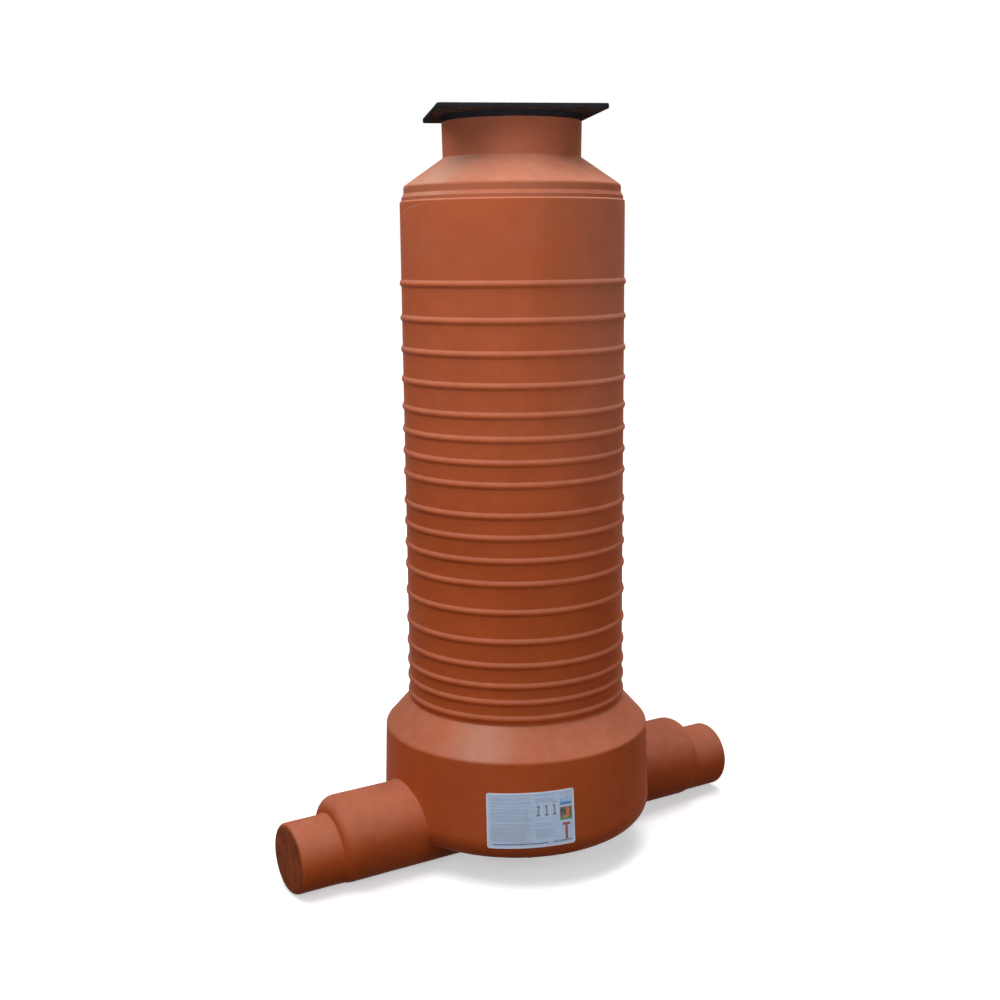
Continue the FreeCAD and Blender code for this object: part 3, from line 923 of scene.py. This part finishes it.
class CHAMBER_OT_studio(bpy.types.Operator):
    """Set the floor, the soft light and the camera"""
    bl_idname = "chamber.studio"
    bl_label = "Studio"

    def execute(self, context):
        settings = context.scene.chamber_studio
        self.floor()
        self.world(context.scene, settings)
        middle = (0, 0, (CAD_BOX[0][2] + CAD_BOX[1][2]) / 2)
        for name, power, size, place in (
            ("left_box", settings.left, 1.2, (-2.2, -1.3, 1.15)),
            ("front_box", settings.front, 2.0, (-2.3, -4.0, 1.4)),
            ("right_box", settings.right, 1.2, (0.7, -2.4, 1.15)),
            ("overhead_box", settings.overhead, 2.6, (-1.4, -0.3, 4.2)),
            ("back_box", settings.back, 2.2, (1.5, 0.5, 4.4)),
        ):
            self.soft_box(name, power, size, place, middle)
        self.camera(context.scene, settings)
        context.scene.view_settings.view_transform = "Standard"
        return {"FINISHED"}

    def camera(self, scene, settings):
        """The camera, which sees the floor out to its far edge."""
        camera = bpy.data.cameras.new("camera")
        camera.lens = settings.lens
        camera.clip_end = 2 * FLOOR_SIDE
        holder = bpy.data.objects.new("camera", camera)
        holder.location = settings.camera_place
        holder.rotation_euler = settings.camera_turn
        scene.collection.objects.link(holder)
        scene.camera = holder

    def floor(self):
        """A wide pale floor. It is seen white, with the object's soft shadow kept."""
        start_clean()
        bpy.ops.mesh.primitive_plane_add(size=FLOOR_SIDE, location=(0, 0, 0))
        floor = bpy.context.object
        floor.name = "studio_floor"
        paint = new_paint("studio_floor")
        seen = paint.seen()
        reach = paint.node("ShaderNodeVectorMath", {"operation": "LENGTH"}, {0: paint.place}, "Value")
        glow = 0.45 + paint.fade(reach, 1.1, 3.2) * 0.55
        colour = paint.mix(seen, (0.05, 0.045, 0.04), (0.9, 0.9, 0.9))
        dull = paint.node("ShaderNodeBsdfDiffuse", {}, {"Color": colour})
        white = paint.node("ShaderNodeEmission", {}, {"Color": (1, 1, 1, 1), "Strength": seen * glow})
        both = paint.node("ShaderNodeAddShader", {}, {0: dull, 1: white})
        floor.data.materials.append(paint.surface(both))

    def world(self, scene, settings):
        """White where it is seen, and elsewhere a soft sky that is brighter overhead."""
        scene.world = bpy.data.worlds.new("studio")
        paint = Paint(scene.world)
        height = paint.axes(paint.node("ShaderNodeTexCoord", output="Generated"))[2]
        even = (0.3 + paint.fade(height, -0.3, 0.1) * 0.7) * settings.sky
        overhead = paint.fade(height, 0.1, 0.9) * settings.zenith
        seen = paint.seen()
        strength = seen + (1 - seen) * (even + overhead)
        light = paint.node("ShaderNodeBackground", {}, {"Strength": strength, "Color": (1, 1, 1, 1)})
        paint.surface(light, "ShaderNodeOutputWorld")

    def soft_box(self, name, power, size, place, target):
        lamp = bpy.data.lights.new(name, "AREA")
        lamp.energy = power
        lamp.size = size
        holder = bpy.data.objects.new(name, lamp)
        holder.location = place
        holder.rotation_euler = (Vector(target) - Vector(place)).to_track_quat("-Z", "Y").to_euler()
        holder.visible_camera = False
        bpy.context.scene.collection.objects.link(holder)


class CHAMBER_PT_panel(bpy.types.Panel):
    """Lists the chamber's pieces"""
    bl_label = "Chamber"
    bl_idname = "CHAMBER_PT_panel"
    bl_space_type = "VIEW_3D"
    bl_region_type = "UI"
    bl_category = "Chamber"

    def draw(self, context):
        for operator in OPERATORS:
            self.layout.operator(operator.bl_idname)


SETTINGS = {"chamber_shaft": ShaftSettings, "chamber_cone": ConeSettings, "chamber_cover": CoverSettings,
            "chamber_label": LabelSettings, "chamber_finish": FinishSettings,
            "chamber_studio": StudioSettings}
OPERATORS = (CHAMBER_OT_studio, CHAMBER_OT_base, CHAMBER_OT_shaft, CHAMBER_OT_cone, CHAMBER_OT_seals,
             CHAMBER_OT_cover, CHAMBER_OT_label)


def register():
    for name, group in SETTINGS.items():
        bpy.utils.register_class(group)
        setattr(bpy.types.Scene, name, PointerProperty(type=group))
    for operator in OPERATORS:
        bpy.utils.register_class(operator)
    bpy.utils.register_class(CHAMBER_PT_panel)


def unregister():
    bpy.utils.unregister_class(CHAMBER_PT_panel)
    for operator in reversed(OPERATORS):
        bpy.utils.unregister_class(operator)
    for name, group in SETTINGS.items():
        delattr(bpy.types.Scene, name)
        bpy.utils.unregister_class(group)


def main():
    register()
    bpy.ops.chamber.studio()
    bpy.ops.chamber.base()
    bpy.ops.chamber.shaft()
    bpy.ops.chamber.cone()
    bpy.ops.chamber.seals()
    bpy.ops.chamber.cover()
    bpy.ops.chamber.label()


if __name__ == "__main__":
    main()
